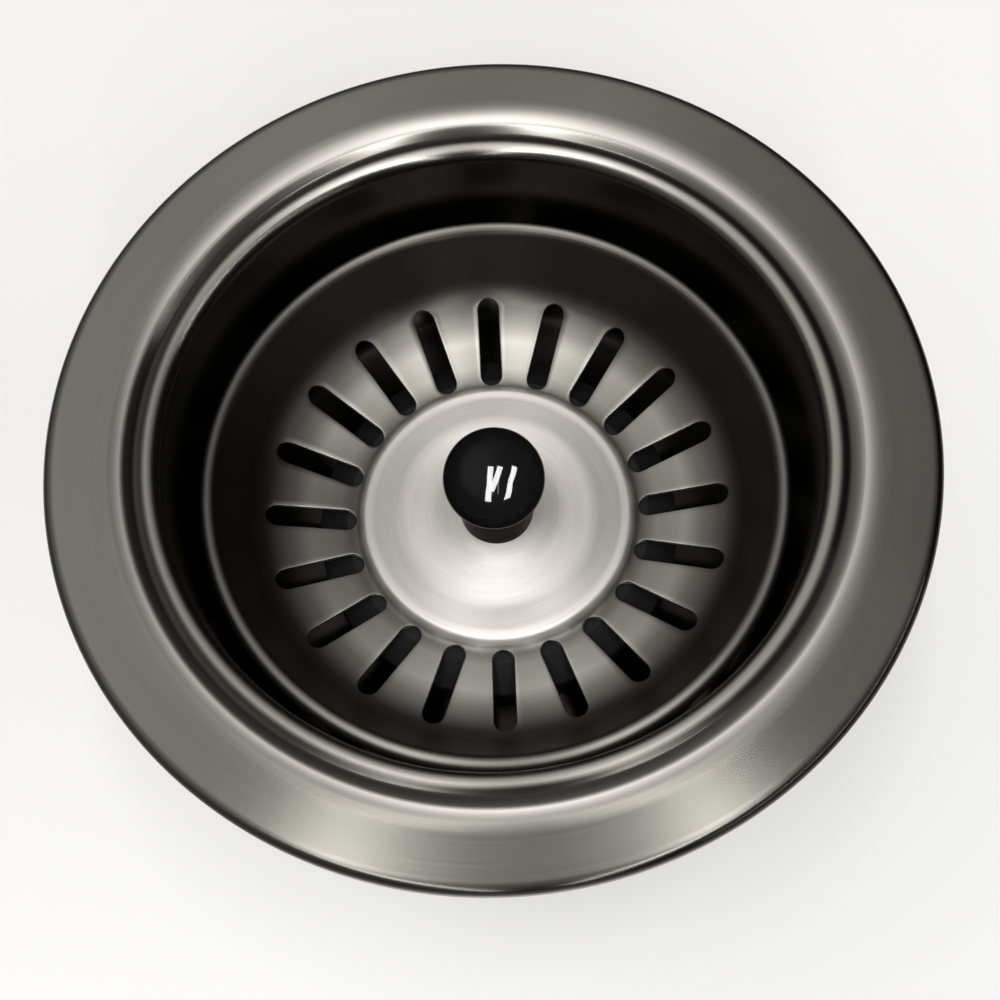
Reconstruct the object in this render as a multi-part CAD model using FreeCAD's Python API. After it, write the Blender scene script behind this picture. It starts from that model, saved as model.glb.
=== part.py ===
import FreeCAD, Part
import math
import os

# Kitchen-sink basket strainer, in millimetres. The origin is on the drain's axis, in the face that
# lies on the sink, and +Z points up out of the drain. Heights below the sink face are negative.

# Fits and cutting
overrun = 1.0
press_gap = 0.05
running_gap = 0.05
easy_gap = 0.1

# Threads: ridge widths as shares of the pitch, how deep a ridge is rooted in its wall, the radial play,
# and the plain length above a nut's ridge
ridge_base_share = 0.36
ridge_crest_share = 0.10
ridge_sink = 0.4
thread_gap = 0.15
nut_thread_margin = 0.5

# Cup and flange, pressed from one sheet
cup_radius = 42.5
cup_depth = 36.0
cup_corner_round = 6.0
body_sheet = 0.8
lip_width = 3.2
lip_height = 1.7
lip_round = 1.9
crease_height = 1.15
crease_round = 0.9
step_width = 2.7
inner_bend_round = 2.6
flange_width = 8.6
flange_crown = 2.9
flange_fall = 0.3
flange_edge_gap = 0.35
flange_edge_round = 1.0

# Thread rolled on the outside of the cup
cup_pitch = 3.0
cup_thread_depth = 0.75
cup_thread_runout = 1.0
cup_thread_top_gap = 5.0

# Flange gasket
flange_gasket_width = 5.2
flange_gasket_inset = 2.4

# Outlet sleeve under the cup's floor
outlet_radius = 18.8
ledge_width = 0.9
neck_wall = 0.9
rolled_rim_width = 2.6
rolled_rim_height = 1.0
rolled_rim_round = 0.4
outlet_seal_height = 1.5
sleeve_wall = 4.2
sleeve_length = 26.7
sleeve_edge_round = 0.6
sleeve_pitch = 2.2
sleeve_thread_depth = 0.7
sleeve_thread_runout = 1.5
sleeve_thread_top_gap = 3.0

# Crosspiece in the outlet and its catch bush
crosspiece_height = 3.0
crosspiece_rim_width = 2.0
arm_count = 4
arm_width = 3.0
hub_wall = 2.9
bush_wall = 2.45
bush_collar_width = 1.4
bush_collar_height = 1.2
bush_snap_width = 0.35
bush_snap_height = 1.5
bush_round = 0.35

# Strainer basket, pressed from one sheet
basket_sheet = 0.7
basket_side_gap = 2.1
basket_depth = 13.3
basket_lip_width = 2.1
basket_lip_drop = 1.7
basket_lip_round = 1.04
basket_wall_lean = 4.4
basket_wall_round = 5.0
disc_radius = 19.2
disc_step_width = 1.4
disc_step_height = 1.4
disc_round = 0.9
floor_rise = 4.6
slot_count = 20
slot_width = 3.0
slot_outer_inset = 0.9
slot_first_angle = 87.0

# Ball knob on its collar, with a threaded insert
ball_radius = 7.0
ball_flat_radius = 4.0
insert_radius = 3.6
insert_reach_share = 0.31
collar_radius = 5.3
collar_height = 6.5
collar_round = 0.5

# Lift post and the stopper clamped under the basket
post_radius = 2.5
post_tip_radius = 2.05
post_end_gap = 0.6
post_nut_stickout = 0.3
post_tip_round = 0.8
groove_depth = 0.4
groove_half_height = 0.6
drain_lift = 9.0
post_tip_end = 2.5
backing_height = 1.8
backing_inset = 1.2
stopper_hub_height = 2.6
stopper_hub_margin = 1.0
stopper_slope_drop = 2.3
stopper_slope_width = 4.3
skirt_gap = 1.2
skirt_wall = 1.9
stopper_round = 0.6
stopper_washer_radius = 8.0
stopper_washer_height = 0.8
hex_across_flats = 8.0
hex_height = 3.2
catch_gap = 0.5

# Gasket, friction ring and locknut that clamp the sink from below
clamp_ring_gap = 0.2
sink_gasket_width = 7.4
sink_gasket_height = 4.0
sink_gasket_round = 0.8
friction_ring_width = 7.0
friction_ring_height = 1.2
locknut_height = 10.0
locknut_wall = 4.0
locknut_flange_height = 3.0
locknut_flange_width = 3.2
locknut_round = 0.6
locknut_thread_depth = 0.6
lug_count = 8
lug_width = 6.0

# Coupling nut and washer that hold the drain pipe
tail_washer_height = 2.5
tail_washer_gap = 1.3
coupling_lip_gap = 1.0
coupling_lip_height = 3.0
coupling_height = 16.0
coupling_wall = 4.6
coupling_round = 0.8
coupling_thread_depth = 0.5
rib_count = 12
rib_radius = 2.2

# Radii that follow from the sizes above
cup_outer = cup_radius + body_sheet
cup_thread_radius = cup_outer + cup_thread_depth
crease_radius = cup_radius + lip_width
inner_bend_radius = crease_radius + step_width
flange_radius = inner_bend_radius + flange_width
counterbore_radius = outlet_radius + ledge_width
neck_radius = counterbore_radius + neck_wall
floor_hole_radius = neck_radius + easy_gap
rolled_rim_radius = neck_radius + rolled_rim_width
sleeve_outer = outlet_radius + sleeve_wall
sleeve_thread_radius = sleeve_outer + sleeve_thread_depth
bush_bore = post_tip_radius + running_gap
bush_radius = bush_bore + bush_wall
hub_bore = bush_radius + running_gap
post_hole = post_radius + easy_gap
basket_lip_radius = cup_radius - basket_side_gap
basket_wall_top = basket_lip_radius - basket_lip_width
basket_wall_foot = basket_wall_top - basket_wall_lean
disc_foot_radius = disc_radius + disc_step_width
skirt_inner = rolled_rim_radius + skirt_gap
skirt_outer = skirt_inner + skirt_wall
clamp_ring_bore = cup_thread_radius + clamp_ring_gap
locknut_bore = cup_thread_radius + thread_gap
locknut_outer = locknut_bore + locknut_wall
coupling_bore = sleeve_thread_radius + thread_gap
coupling_outer = coupling_bore + coupling_wall
tail_washer_bore = outlet_radius + tail_washer_gap
coupling_lip_bore = outlet_radius + coupling_lip_gap

# Heights that follow from the sizes above
cup_floor = -cup_depth
cup_underside = cup_floor - body_sheet
cup_thread_foot = cup_floor + cup_corner_round + cup_thread_runout
cup_thread_turns = (-cup_thread_top_gap - cup_thread_foot) / cup_pitch
sleeve_shoulder = cup_underside - outlet_seal_height
sleeve_foot = sleeve_shoulder - sleeve_length
sleeve_thread_foot = sleeve_foot + sleeve_thread_runout
sleeve_thread_turns = (sleeve_shoulder - sleeve_thread_top_gap - sleeve_thread_foot) / sleeve_pitch
ledge_height = cup_floor - crosspiece_height
catch_height = cup_floor - crosspiece_height / 2
hex_foot = cup_floor + bush_collar_height + catch_gap
stopper_washer_foot = hex_foot + hex_height
stopper_hub_foot = stopper_washer_foot + stopper_washer_height
stopper_top = stopper_hub_foot + stopper_hub_height
disc_underside = stopper_top + backing_height
disc_top = disc_underside + basket_sheet
basket_floor = disc_top - disc_step_height
basket_top = disc_top + basket_depth
ball_seat = disc_top + collar_height
ball_centre = ball_seat + math.sqrt(ball_radius ** 2 - ball_flat_radius ** 2)
insert_top = ball_centre + ball_radius * insert_reach_share
locknut_foot = cup_thread_foot - cup_thread_runout
locknut_top = locknut_foot + locknut_height
locknut_thread_foot = cup_thread_foot + cup_pitch / 2
locknut_thread_top = locknut_top - nut_thread_margin
locknut_thread_turns = (locknut_thread_top - locknut_thread_foot) / cup_pitch - ridge_base_share
friction_ring_top = locknut_top + friction_ring_height
tail_washer_foot = sleeve_foot - tail_washer_height
coupling_foot = tail_washer_foot - coupling_lip_height
coupling_top = coupling_foot + coupling_height
coupling_thread_foot = sleeve_thread_foot + sleeve_pitch / 2
coupling_thread_top = coupling_top - nut_thread_margin
coupling_thread_turns = (coupling_thread_top - coupling_thread_foot) / sleeve_pitch - ridge_base_share

axis_point = FreeCAD.Vector(0, 0, 0)
axis_up = FreeCAD.Vector(0, 0, 1)
tiny = 1e-6


def at(radius, height):
    """A point of an outline, in the plane through the drain's axis."""
    return FreeCAD.Vector(radius, 0, height)


def corner_arc(before, corner, after, radius):
    """The rounding of one corner: its first point, its middle and its last point."""
    back = (before - corner).normalize()
    ahead = (after - corner).normalize()
    half = back.getAngle(ahead) / 2
    reach = radius / math.tan(half)
    inward = (back + ahead).normalize()
    middle = corner + inward * (radius / math.sin(half) - radius)
    return corner + back * reach, middle, corner + ahead * reach


def joined(stops):
    """Edges through a list of stops: a corner point, or the three points of a rounded corner."""
    edges = []
    for stop, following in zip(stops, stops[1:]):
        if len(stop) > 1:
            edges.append(Part.Arc(*stop).toShape())
        if stop[-1].distanceToPoint(following[0]) > tiny:
            edges.append(Part.LineSegment(stop[-1], following[0]).toShape())
    return edges


def stops_of(spots, radii, corners):
    """Each named corner with its rounding, or as it is where its radius is zero."""
    stops = []
    for i, radius in zip(corners, radii):
        spot, before, after = spots[i], spots[i - 1], spots[(i + 1) % len(spots)]
        stops.append(corner_arc(before, spot, after, radius) if radius else (spot,))
    return stops


def revolved(outline, radii):
    """A turned solid, from a closed outline of radii and heights with a rounding for each corner."""
    spots = [at(*point) for point in outline]
    stops = stops_of(spots, radii, range(len(spots)))
    edges = joined(stops + stops[:1])
    face = Part.Face(Part.Wire(edges))
    return face.revolve(axis_point, axis_up, 360)


def pressed(line, radii, sheet):
    """A pressed sheet, from the line of its visible side and a rounding for each inner corner."""
    spots = [at(*point) for point in line]
    inner = stops_of(spots, radii, range(1, len(spots) - 1))
    edges = joined([(spots[0],)] + inner + [(spots[-1],)])
    band = Part.Wire(edges).makeOffset2D(sheet, 0, True, True)
    return band.revolve(axis_point, axis_up, 360)


def ring(bore, outer, foot, top, rounding=0):
    """A plain ring, with its outer edges rounded."""
    outline = [(bore, foot), (outer, foot), (outer, top), (bore, top)]
    return revolved(outline, [0, rounding, rounding, 0])


def thread_ridge(root, crest, pitch, turns, foot):
    """One right-hand thread ridge, rooted in the wall at root and standing out to crest."""
    rooted = root + math.copysign(ridge_sink, root - crest)
    base_half = pitch * ridge_base_share
    crest_half = pitch * ridge_crest_share
    corners = [(rooted, -base_half), (crest, -crest_half), (crest, crest_half), (rooted, base_half)]
    section = Part.makePolygon([at(r, foot + z) for r, z in corners + corners[:1]])
    helix = Part.makeHelix(pitch, pitch * turns, root)
    helix.translate(axis_up * foot)
    return Part.Wire(helix.Edges).makePipeShell([section], True, True)


def turned(shape, angle):
    """A copy of a shape, turned about the drain's axis."""
    return shape.copy().rotate(axis_point, axis_up, angle)


def around(shape, count):
    """Copies of a shape, evenly spaced about the drain's axis."""
    return [turned(shape, 360 * i / count) for i in range(count)]


def spoke(width, inner, outer, foot, height):
    """A bar along the X axis, from one radius to another."""
    return Part.makeBox(outer - inner, width, height, FreeCAD.Vector(inner, -width / 2, foot))


def make_strainer_body():
    flange_inner = flange_crown - flange_fall
    line = [
        (flange_radius, flange_edge_gap),
        (flange_radius, flange_crown),
        (inner_bend_radius, flange_inner),
        (crease_radius, crease_height),
        (cup_radius, lip_height),
        (cup_radius, cup_floor),
        (floor_hole_radius, cup_floor),
    ]
    radii = [flange_edge_round, inner_bend_round, crease_round, lip_round, cup_corner_round]
    sheet = pressed(line, radii, body_sheet)
    ridge = thread_ridge(cup_outer, cup_thread_radius, cup_pitch, cup_thread_turns, cup_thread_foot)
    return sheet.fuse(ridge)


def make_flange_gasket():
    outer = flange_radius - flange_gasket_inset
    inner = outer - flange_gasket_width
    slope = flange_fall / flange_width
    top = flange_crown - body_sheet * math.hypot(1, slope)
    outline = [
        (inner, 0),
        (outer, 0),
        (outer, top - slope * (flange_radius - outer)),
        (inner, top - slope * (flange_radius - inner)),
    ]
    return revolved(outline, [0] * len(outline))


def make_outlet_sleeve():
    rim_top = cup_floor + rolled_rim_height
    outline = [
        (counterbore_radius, ledge_height),
        (counterbore_radius, rim_top),
        (rolled_rim_radius, rim_top),
        (rolled_rim_radius, cup_floor),
        (neck_radius, cup_floor),
        (neck_radius, sleeve_shoulder),
        (sleeve_outer, sleeve_shoulder),
        (sleeve_outer, sleeve_foot),
        (outlet_radius, sleeve_foot),
        (outlet_radius, ledge_height),
    ]
    rounds = [0, rolled_rim_round, rolled_rim_round, 0, 0, 0, sleeve_edge_round, sleeve_edge_round, 0, 0]
    tube = revolved(outline, rounds)
    ridge = thread_ridge(sleeve_outer, sleeve_thread_radius, sleeve_pitch, sleeve_thread_turns,
                         sleeve_thread_foot)
    return tube.fuse(ridge)


def make_outlet_seal():
    return ring(floor_hole_radius, sleeve_thread_radius, sleeve_shoulder, cup_underside)


def make_crosspiece():
    outer = counterbore_radius - press_gap
    rim_inner = outer - crosspiece_rim_width
    hub_radius = hub_bore + hub_wall
    rim = ring(rim_inner, outer, ledge_height, cup_floor)
    hub = ring(hub_bore, hub_radius, ledge_height, cup_floor)
    arm_start = hub_bore + hub_wall / 2
    arm_end = rim_inner + crosspiece_rim_width / 2
    arm = spoke(arm_width, arm_start, arm_end, ledge_height, crosspiece_height)
    return rim.multiFuse([hub] + around(arm, arm_count)).removeSplitter()


def make_catch_bush():
    bush_collar_radius = bush_radius + bush_collar_width
    snap_radius = bush_radius + bush_snap_width
    snap_top = ledge_height - running_gap
    outline = [
        (bush_bore, snap_top - bush_snap_height),
        (bush_radius, snap_top - bush_snap_height),
        (snap_radius, snap_top),
        (bush_radius, snap_top),
        (bush_radius, cup_floor),
        (bush_collar_radius, cup_floor),
        (bush_collar_radius, cup_floor + bush_collar_height),
        (bush_bore, cup_floor + bush_collar_height),
    ]
    return revolved(outline, [0, 0, 0, 0, 0, 0, bush_round, 0])


def make_strainer_basket():
    foot_height = basket_floor + floor_rise
    line = [
        (basket_lip_radius, basket_top - basket_lip_drop),
        (basket_lip_radius, basket_top),
        (basket_wall_top, basket_top),
        (basket_wall_foot, foot_height),
        (disc_foot_radius, basket_floor),
        (disc_radius, disc_top),
        (post_hole, disc_top),
    ]
    radii = [basket_lip_round, basket_lip_round, basket_wall_round, disc_round, disc_round]
    sheet = pressed(line, radii, basket_sheet)
    return sheet.cut(Part.makeCompound(slot_cutters()))


def slot_cutters():
    """Upright cutters for the drain slots, round at both ends."""
    half = slot_width / 2
    inner = disc_foot_radius + half
    outer = basket_wall_foot - slot_outer_inset - half
    foot = disc_top - basket_depth
    height = basket_depth * 2
    bar = spoke(slot_width, inner, outer, foot, height)
    ends = [Part.makeCylinder(half, height, at(r, foot)) for r in (inner, outer)]
    cutter = turned(bar.multiFuse(ends).removeSplitter(), slot_first_angle)
    return around(cutter, slot_count)


def make_ball_knob():
    ball = Part.makeSphere(ball_radius, at(0, ball_centre))
    below = Part.makeCylinder(ball_radius + overrun, ball_radius * 2, at(0, ball_seat - ball_radius * 2))
    pocket = Part.makeCylinder(insert_radius, insert_top - ball_seat + overrun, at(0, ball_seat - overrun))
    return ball.cut(below).cut(pocket)


def make_knob_insert():
    outer = insert_radius - press_gap
    bore = post_radius + press_gap
    sleeve = ring(bore, outer, ball_seat, insert_top)
    crown = Part.makeCylinder(outer, post_end_gap, at(0, insert_top - post_end_gap))
    return sleeve.fuse(crown).removeSplitter()


def make_neck_collar():
    outline = [
        (post_hole, disc_top),
        (collar_radius, disc_top),
        (collar_radius, ball_seat),
        (post_hole, ball_seat),
    ]
    return revolved(outline, [0, collar_round, collar_round, 0])


def make_lift_post():
    top = insert_top - post_end_gap * 2
    thread_end = hex_foot - post_nut_stickout
    foot = catch_height - drain_lift - post_tip_end
    outline = [(0, foot), (post_tip_radius, foot)]
    for groove in (catch_height - drain_lift, catch_height):
        outline += [
            (post_tip_radius, groove - groove_half_height),
            (post_tip_radius - groove_depth, groove),
            (post_tip_radius, groove + groove_half_height),
        ]
    outline += [
        (post_tip_radius, thread_end),
        (post_radius, thread_end),
        (post_radius, top),
        (0, top),
    ]
    rounds = [0] * len(outline)
    rounds[1] = post_tip_round
    return revolved(outline, rounds)


def make_backing_washer():
    return ring(post_hole, disc_radius - backing_inset, stopper_top, disc_underside)


def make_stopper_seal():
    slope_start = skirt_outer - stopper_slope_width
    slope_foot = stopper_top - stopper_slope_drop
    outline = [
        (post_hole, stopper_hub_foot),
        (stopper_washer_radius + stopper_hub_margin, stopper_hub_foot),
        (skirt_inner, stopper_hub_foot - stopper_slope_drop),
        (skirt_inner, cup_floor),
        (skirt_outer, cup_floor),
        (skirt_outer, slope_foot),
        (slope_start, stopper_top),
        (post_hole, stopper_top),
    ]
    return revolved(outline, [0, 0, stopper_round, 0, 0, stopper_round, stopper_round, 0])


def make_stopper_washer():
    return ring(post_hole, stopper_washer_radius, stopper_washer_foot, stopper_hub_foot)


def make_stopper_nut():
    corner_radius = hex_across_flats / 2 / math.cos(math.pi / 6)
    first = at(corner_radius, hex_foot)
    corners = [turned(Part.Vertex(first), 60 * i).Point for i in range(7)]
    hexagon = Part.Face(Part.makePolygon(corners)).extrude(axis_up * hex_height)
    bore = Part.makeCylinder(post_radius + press_gap, hex_height + overrun * 2, at(0, hex_foot - overrun))
    return hexagon.cut(bore)


def make_sink_gasket():
    outer = clamp_ring_bore + sink_gasket_width
    top = friction_ring_top + sink_gasket_height
    return ring(clamp_ring_bore, outer, friction_ring_top, top, sink_gasket_round)


def make_friction_ring():
    return ring(clamp_ring_bore, clamp_ring_bore + friction_ring_width, locknut_top, friction_ring_top)


def make_locknut():
    flange_foot = locknut_top - locknut_flange_height
    flange_outer = locknut_outer + locknut_flange_width
    outline = [
        (locknut_bore, locknut_foot),
        (locknut_outer, locknut_foot),
        (locknut_outer, flange_foot),
        (flange_outer, flange_foot),
        (flange_outer, locknut_top),
        (locknut_bore, locknut_top),
    ]
    turned_ring = revolved(outline, [0, locknut_round, 0, locknut_round, locknut_round, 0])
    lug_start = locknut_bore + locknut_wall / 2
    lug_end = flange_outer - locknut_round
    lug_height = locknut_height - locknut_flange_height
    lug = spoke(lug_width, lug_start, lug_end, locknut_foot + locknut_round, lug_height)
    nut = turned_ring.multiFuse(around(lug, lug_count)).removeSplitter()
    ridge = thread_ridge(locknut_bore, locknut_bore - locknut_thread_depth, cup_pitch, locknut_thread_turns,
                         locknut_thread_foot)
    return nut.fuse(ridge)


def make_tailpiece_washer():
    return ring(tail_washer_bore, sleeve_outer, tail_washer_foot, sleeve_foot)


def make_coupling_nut():
    outline = [
        (coupling_lip_bore, coupling_foot),
        (coupling_outer, coupling_foot),
        (coupling_outer, coupling_top),
        (coupling_bore, coupling_top),
        (coupling_bore, tail_washer_foot),
        (coupling_lip_bore, tail_washer_foot),
    ]
    turned_ring = revolved(outline, [0, coupling_round, coupling_round, 0, 0, 0])
    rib_foot = coupling_foot + coupling_round * 2
    rib_height = coupling_height - coupling_round * 4
    rib = Part.makeCylinder(rib_radius, rib_height, at(coupling_outer - coupling_round, rib_foot))
    nut = turned_ring.multiFuse(around(rib, rib_count)).removeSplitter()
    ridge = thread_ridge(coupling_bore, coupling_bore - coupling_thread_depth, sleeve_pitch,
                         coupling_thread_turns, coupling_thread_foot)
    return nut.fuse(ridge)


nodes = {
    "strainer_body": make_strainer_body,
    "flange_gasket": make_flange_gasket,
    "outlet_sleeve": make_outlet_sleeve,
    "outlet_seal": make_outlet_seal,
    "outlet_crosspiece": make_crosspiece,
    "catch_bush": make_catch_bush,
    "strainer_basket": make_strainer_basket,
    "ball_knob": make_ball_knob,
    "knob_insert": make_knob_insert,
    "neck_collar": make_neck_collar,
    "lift_post": make_lift_post,
    "backing_washer": make_backing_washer,
    "stopper_seal": make_stopper_seal,
    "stopper_washer": make_stopper_washer,
    "stopper_nut": make_stopper_nut,
    "sink_gasket": make_sink_gasket,
    "friction_ring": make_friction_ring,
    "locknut": make_locknut,
    "tailpiece_washer": make_tailpiece_washer,
    "coupling_nut": make_coupling_nut,
}

os.makedirs("parts", exist_ok=True)
for name, make in nodes.items():
    shape = make()
    shape.exportStep(f"parts/{name}.step")
    print(name, shape.ShapeType, len(shape.Solids), shape.isValid(), round(shape.Volume, 2))
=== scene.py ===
import math

import bmesh
import bpy
import numpy as np
from mathutils import Matrix, Vector


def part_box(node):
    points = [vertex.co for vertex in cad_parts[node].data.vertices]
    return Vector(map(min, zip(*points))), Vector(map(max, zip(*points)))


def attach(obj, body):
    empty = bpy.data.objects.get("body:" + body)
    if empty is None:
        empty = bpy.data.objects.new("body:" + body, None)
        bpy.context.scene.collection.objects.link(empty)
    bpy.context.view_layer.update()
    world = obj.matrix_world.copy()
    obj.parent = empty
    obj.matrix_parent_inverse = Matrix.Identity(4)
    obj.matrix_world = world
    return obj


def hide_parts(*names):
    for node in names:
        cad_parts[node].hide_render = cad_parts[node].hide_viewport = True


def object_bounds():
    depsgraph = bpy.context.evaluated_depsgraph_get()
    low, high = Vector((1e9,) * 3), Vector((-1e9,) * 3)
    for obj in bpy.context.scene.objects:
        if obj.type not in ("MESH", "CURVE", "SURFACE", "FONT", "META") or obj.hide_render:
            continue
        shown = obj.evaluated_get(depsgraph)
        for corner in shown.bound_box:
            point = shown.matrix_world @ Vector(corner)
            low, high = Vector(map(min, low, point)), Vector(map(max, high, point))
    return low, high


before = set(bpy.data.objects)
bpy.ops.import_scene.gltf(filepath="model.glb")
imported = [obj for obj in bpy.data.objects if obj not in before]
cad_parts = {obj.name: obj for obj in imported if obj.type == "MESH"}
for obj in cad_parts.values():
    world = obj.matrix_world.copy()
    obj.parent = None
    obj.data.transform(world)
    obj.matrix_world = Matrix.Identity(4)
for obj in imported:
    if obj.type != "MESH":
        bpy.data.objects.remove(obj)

cad_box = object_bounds()
mm = 0.001

# Photo camera: where it stands, how it is turned, and its focal length in pixels of a 1000-pixel frame
view_elevation = math.radians(66.268)
view_pan = math.radians(0.158)
view_tilt = math.radians(2.536)
view_roll = math.radians(5.612)
view_distance = 185.0 * mm
view_height = 1.3 * mm
focal_pixels = 1447.9
frame_pixels = 1000.0
sensor_width = 36.0
clip_start = 0.01

# Light, in metres: tubes overhead, lamps for the ball's streaks, and a sky that is brighter at the left
tube_height = 2.0
tube_length = 3.4
tube_width = 0.15
tube_end = 0.18
tube_radiance = 15.3
tube_places = {"left": -0.38, "middle": 0.36, "right": 1.88}
streak_distance = 0.5
streak_spread = math.radians(12.0)
streak_radiance = 90.0
sky_low = 0.18
sky_zenith = 0.465
sky_rise = (0.2, 0.95)
sky_side_gain = -1.9
sky_far_gain = 0.25
sky_least = 0.04
sky_colour = (1.0, 0.99, 0.97, 1.0)
floor_half = 8.0

# Turning points of the white streaks as the ball sees them: degrees round the axis and degrees above level
streak_runs = {
    "left": ((127.3, 84.0), (-108.9, 54.8), (-106.2, 8.0)),
    "middle": ((11.4, 72.9), (-100.0, 39.8)),
    "right": ((7.0, 41.6), (-39.8, 41.9), (-71.9, 8.1)),
}

# Mesh fineness
turn_segments = 240
nut_segments = 480
arc_steps = 10
row_step = 0.8 * mm
fine_row = 0.16 * mm
thread_row = 0.1 * mm
weld_gap = 0.001 * mm
sharp_angle = math.radians(40.0)

# Cup and flange: the line of the visible side, from the flange's edge down to the hole in the floor
body_sheet = 0.8 * mm
flange_edge_gap = 0.35 * mm
flange_crown = 2.9 * mm
flange_inner = 2.6 * mm
crease_height = 1.15 * mm
lip_height = 1.7 * mm
inner_bend_radius = 48.4 * mm
crease_radius = 45.7 * mm
cup_radius = 42.5 * mm
floor_hole = 20.7 * mm
body_rounds = [1.0 * mm, 2.6 * mm, 0.9 * mm, 1.9 * mm, 6.0 * mm]

# Tones of the brushed steel, with painted highlights on its edges and painted shade in its hollows, and how
# much satin roughens it. The disc is pale, partly as a paler finish and partly as painted highlight.
# Each stop is a radius in millimetres and a value. The painted shade inside the cup ends over the span of its
# mouth.
dark_tint = (1.035, 1.0, 0.895)
pale_tint = (1.045, 1.0, 0.95)
tint_span = (0.2, 0.8)
# Painted shade inside the cup: its wall and its floor under the basket are made nearly black.
cup_wall_painted_shade = 0.02
cup_floor_painted_shade = 0.03
cup_floor_span = (-26.0 * mm, -22.0 * mm)
cup_mouth_span = (-0.4 * mm, 0.8 * mm)
cup_skin = 0.5 * mm
flange_plain = 0.26
# Painted highlights on the lip and the inner bend; painted shade in the crease, on the slope and at the
# flange's rounded rim.
flange_tones_with_painted_light = [
    (42.5, 0.05), (43.2, 0.08), (43.6, 0.42), (44.2, 0.5), (44.6, 0.12), (44.9, 0.035), (45.5, 0.05),
    (46.2, 0.11), (46.7, 0.16), (47.1, 0.34), (47.45, 0.96), (47.8, 0.76), (48.4, 0.42), (49.3, 0.3),
    (50.5, flange_plain), (55.5, flange_plain), (55.85, 0.13), (56.3, 0.04),
]
flange_satin = [
    (43.3, 0.0), (43.8, 0.15), (44.5, 0.15), (45.0, 0.0), (46.9, 0.0), (47.3, 0.42), (47.8, 0.36),
    (49.2, 0.15), (50.4, 0.0),
]
# Painted highlights on the lands between the slots and on the basket's lip; painted shade on the disc's step,
# the bowl's wall and the lip's outer roll. The pale disc is partly a paler finish and partly painted
# highlight.
basket_tones_with_painted_light = [
    (0.0, 0.86), (13.0, 0.86), (15.0, 0.66), (17.8, 0.66), (18.4, 0.8), (19.3, 0.78), (20.2, 0.2),
    (21.2, 0.2), (23.0, 0.38), (27.0, 0.47), (29.5, 0.23), (31.5, 0.12), (33.0, 0.06), (35.0, 0.03),
    (38.5, 0.03), (38.9, 0.18), (39.25, 0.45), (39.6, 0.3), (39.9, 0.06), (40.4, 0.04),
]
basket_satin = [(0.0, 0.18), (29.0, 0.18), (33.0, 0.1), (38.0, 0.1), (38.8, 0.15)]
disc_satin = [(0.0, 0.25), (13.0, 0.25), (15.0, 0.08), (17.6, 0.08), (18.3, 0.24)]
disc_finish_radius = 19.8 * mm

# Finishes: the spans in which their noises' values lie, and the strength and direction of the brushing
noise_span = (0.3, 0.7)
gloss_span = (0.35, 0.75)
wear_span = (0.25, 0.75)
grain_span = (0.2, 0.8)
strong_brushing = 0.9
disc_brushing = 0.62
steel_brushing = 0.5
across_brushing = 0.25

# Threads
cup_pitch = 3.0 * mm
cup_thread_depth = 0.75 * mm
cup_thread_foot = -29.0 * mm
cup_thread_top = -5.0 * mm
sleeve_pitch = 2.2 * mm
sleeve_thread_depth = 0.7 * mm
sleeve_thread_foot = -63.5 * mm
sleeve_thread_top = -41.3 * mm
locknut_thread_depth = 0.6 * mm
locknut_thread_top = -21.6 * mm
coupling_thread_depth = 0.5 * mm
coupling_thread_top = -55.8 * mm
thread_base_share = 0.31
thread_crest_share = 0.10
thread_fade_turns = 0.12
on_wall = 0.02 * mm

# Basket: the line of the visible side, from the lip's edge down to the post
basket_sheet = 0.7 * mm
basket_lip_drop = 1.7 * mm
basket_wall_top = 38.3 * mm
basket_wall_foot = 33.9 * mm
basket_wall_rise = 4.6 * mm
disc_radius = 19.2 * mm
disc_foot = 20.6 * mm
disc_step = 1.4 * mm
post_hole = 2.6 * mm
basket_rounds = [1.04 * mm, 1.04 * mm, 5.0 * mm, 0.9 * mm, 0.9 * mm]

# Drain slots
slot_count = 20
slot_half = 1.5 * mm
slot_inner = 22.1 * mm
slot_outer = 31.5 * mm
slot_band = (20.0 * mm, 33.7 * mm)
slot_first_angle = math.radians(87.0)
slot_edge_round = 0.16 * mm
slot_arc_parts = 12
side_parts = 24
band_parts = 5
top_edge_turns = np.radians([30, 60, 90])
under_edge_turns = np.radians([0, 45, 90])

# Knob, post and stopper
pocket_gap = 0.05 * mm
ball_steps = 72
collar_round = 0.5 * mm
insert_wall = 1.0 * mm
insert_crown = 0.6 * mm
post_tip_radius = 2.05 * mm
post_tip_round = 0.8 * mm
post_thread_end = -34.6 * mm
groove_heights = (-46.5 * mm, -37.5 * mm)
groove_half = 0.6 * mm
groove_depth = 0.4 * mm
stopper_flat = 22.0 * mm
stopper_shoulder = -30.0 * mm
stopper_hub = 9.0 * mm
stopper_hub_foot = -30.3 * mm
skirt_inner = 24.4 * mm
skirt_root = -32.6 * mm
stopper_rounds = [0, 0, 0.6 * mm, 0.3 * mm, 0.3 * mm, 0.6 * mm, 0.6 * mm, 0]
hexagon_half = 4.0 * mm
hexagon_chamfer = 0.35 * mm
hexagon_bore = 2.55 * mm

# Outlet
sleeve_wall = 23.0 * mm
sleeve_neck = 20.6 * mm
sleeve_rim = 23.2 * mm
sleeve_recess = 19.7 * mm
sleeve_round = 0.6 * mm
sleeve_rim_round = 0.4 * mm
crosspiece_rim = 2.0 * mm
crosspiece_round = 0.3 * mm
crosspiece_arc_parts = 48
hub_radius = 7.5 * mm
arm_count = 4
arm_half = 1.5 * mm
bush_radius = 4.55 * mm
bush_snap = 4.9 * mm
bush_snap_top = -39.05 * mm
bush_round = 0.35 * mm

# Roundings of the plain rings
flange_gasket_round = 0.3 * mm
fibre_round = 0.15 * mm
backing_round = 0.2 * mm
small_washer_round = 0.1 * mm
sink_gasket_round = 0.8 * mm
pipe_washer_round = 0.3 * mm

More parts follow.
